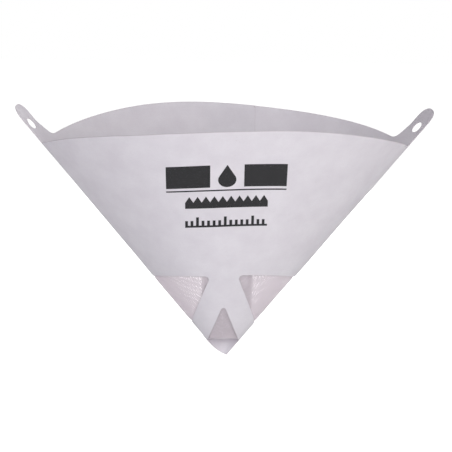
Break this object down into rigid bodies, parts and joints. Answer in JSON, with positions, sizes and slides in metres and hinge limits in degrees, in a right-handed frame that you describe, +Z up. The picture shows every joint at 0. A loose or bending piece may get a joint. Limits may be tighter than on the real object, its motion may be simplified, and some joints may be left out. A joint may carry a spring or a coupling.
{
  "type": "paint strainer",
  "caption": "Paper cone paint strainer with nylon gauze windows round its tip and two holed ears at the rim, standing open.",
  "frame": {"origin": "midway between the centres of the two ear holes that the open cone hangs by", "axes": "+X to the right through the ears, +Y to the seamed back, +Z up, with the tip of the cone pointing down"},
  "size_m": [0.22, 0.1497, 0.1337],
  "materials": {
    "paper": "matt uncoated white filter card with a faint lilac tint",
    "gauze": "fine square-woven white nylon monofilament",
    "ink": "flat black printing ink"
  },
  "bodies": {
    "root": {"paper_cone": "paper", "filter_gauze": "gauze", "printed_bar_left": "ink", "printed_bar_right": "ink", "printed_drop": "ink", "printed_rule": "ink", "printed_band": "ink", "printed_scale": "ink"}
  },
  "joints": []
}
